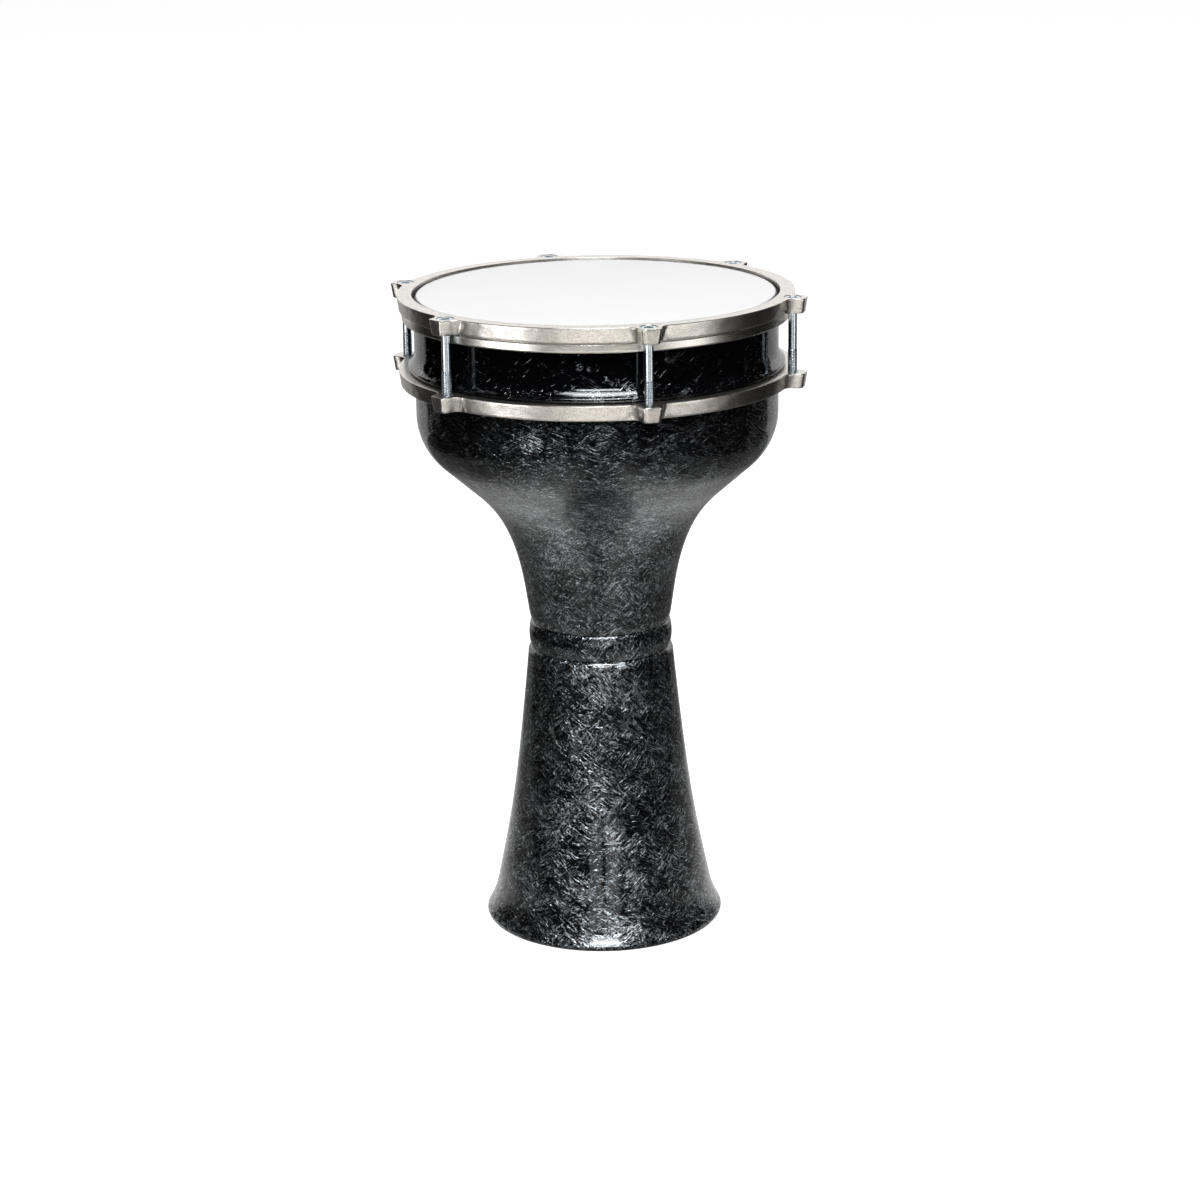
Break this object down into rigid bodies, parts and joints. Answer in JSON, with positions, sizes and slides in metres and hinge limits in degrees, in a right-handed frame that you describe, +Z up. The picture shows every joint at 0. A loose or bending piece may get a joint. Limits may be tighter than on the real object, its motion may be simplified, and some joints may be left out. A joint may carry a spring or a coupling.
{
  "type": "goblet drum",
  "caption": "Goblet-shaped hand drum: flared foot, narrow waist, wide bowl, synthetic head pulled down by a cast hoop with hex-socket tension screws.",
  "frame": {"origin": "on the drum's axis, in the plane of the foot's flat rim that it stands on", "axes": "+Z up along the drum's axis towards the head, -Y towards the front of the drum"},
  "size_m": [0.2608, 0.2626, 0.4153],
  "materials": {
    "shell_lacquer": "gloss black lacquer with silver-grey crackle strokes",
    "cast_ring": "satin, tumbled casting",
    "head_hoop": "satin, rolled",
    "screw_zinc": "bright zinc plated, bluish",
    "head_film": "smooth white polyester film",
    "resin": "cast resin"
  },
  "bodies": {
    "drum_body": {"bowl_shell": "shell_lacquer", "foot_shell": "shell_lacquer", "waist_collar": "shell_lacquer", "lower_ring": "cast_ring", "head_film": "head_film"},
    "tuning_hoop": {"counter_hoop": "cast_ring", "head_hoop": "head_hoop", "resin_insert": "resin"},
    "screw_1": {"tension_screw_1": "screw_zinc"},
    "screw_2": {"tension_screw_2": "screw_zinc"},
    "screw_3": {"tension_screw_3": "screw_zinc"},
    "screw_4": {"tension_screw_4": "screw_zinc"},
    "screw_5": {"tension_screw_5": "screw_zinc"},
    "screw_6": {"tension_screw_6": "screw_zinc"}
  },
  "joints": [
    {"name": "hoop_slide", "type": "slide", "parent": "drum_body", "child": "tuning_hoop", "axis": [0, 0, 1], "range_m": [-0.002, 0.004], "deforming": ["head_film"]},
    {"name": "screw_1_turn", "type": "hinge", "parent": "tuning_hoop", "child": "screw_1", "pos_m": [0.03084, -0.12186, 0.4091], "axis": [0, 0, 1], "range_deg": [-721, 1441]},
    {"name": "screw_2_turn", "type": "hinge", "parent": "tuning_hoop", "child": "screw_2", "pos_m": [0.12095, -0.03423, 0.4091], "axis": [0, 0, 1], "range_deg": [-721, 1441]},
    {"name": "screw_3_turn", "type": "hinge", "parent": "tuning_hoop", "child": "screw_3", "pos_m": [0.09012, 0.08763, 0.4091], "axis": [0, 0, 1], "range_deg": [-721, 1441]},
    {"name": "screw_4_turn", "type": "hinge", "parent": "tuning_hoop", "child": "screw_4", "pos_m": [-0.03084, 0.12186, 0.4091], "axis": [0, 0, 1], "range_deg": [-721, 1441]},
    {"name": "screw_5_turn", "type": "hinge", "parent": "tuning_hoop", "child": "screw_5", "pos_m": [-0.12095, 0.03423, 0.4091], "axis": [0, 0, 1], "range_deg": [-721, 1441]},
    {"name": "screw_6_turn", "type": "hinge", "parent": "tuning_hoop", "child": "screw_6", "pos_m": [-0.09012, -0.08763, 0.4091], "axis": [0, 0, 1], "range_deg": [-721, 1441]}
  ],
  "couplings": [
    {"joint": "screw_1_turn", "follows": "hoop_slide", "rad_per_m": 6283.2},
    {"joint": "screw_2_turn", "follows": "hoop_slide", "rad_per_m": 6283.2},
    {"joint": "screw_3_turn", "follows": "hoop_slide", "rad_per_m": 6283.2},
    {"joint": "screw_4_turn", "follows": "hoop_slide", "rad_per_m": 6283.2},
    {"joint": "screw_5_turn", "follows": "hoop_slide", "rad_per_m": 6283.2},
    {"joint": "screw_6_turn", "follows": "hoop_slide", "rad_per_m": 6283.2}
  ]
}
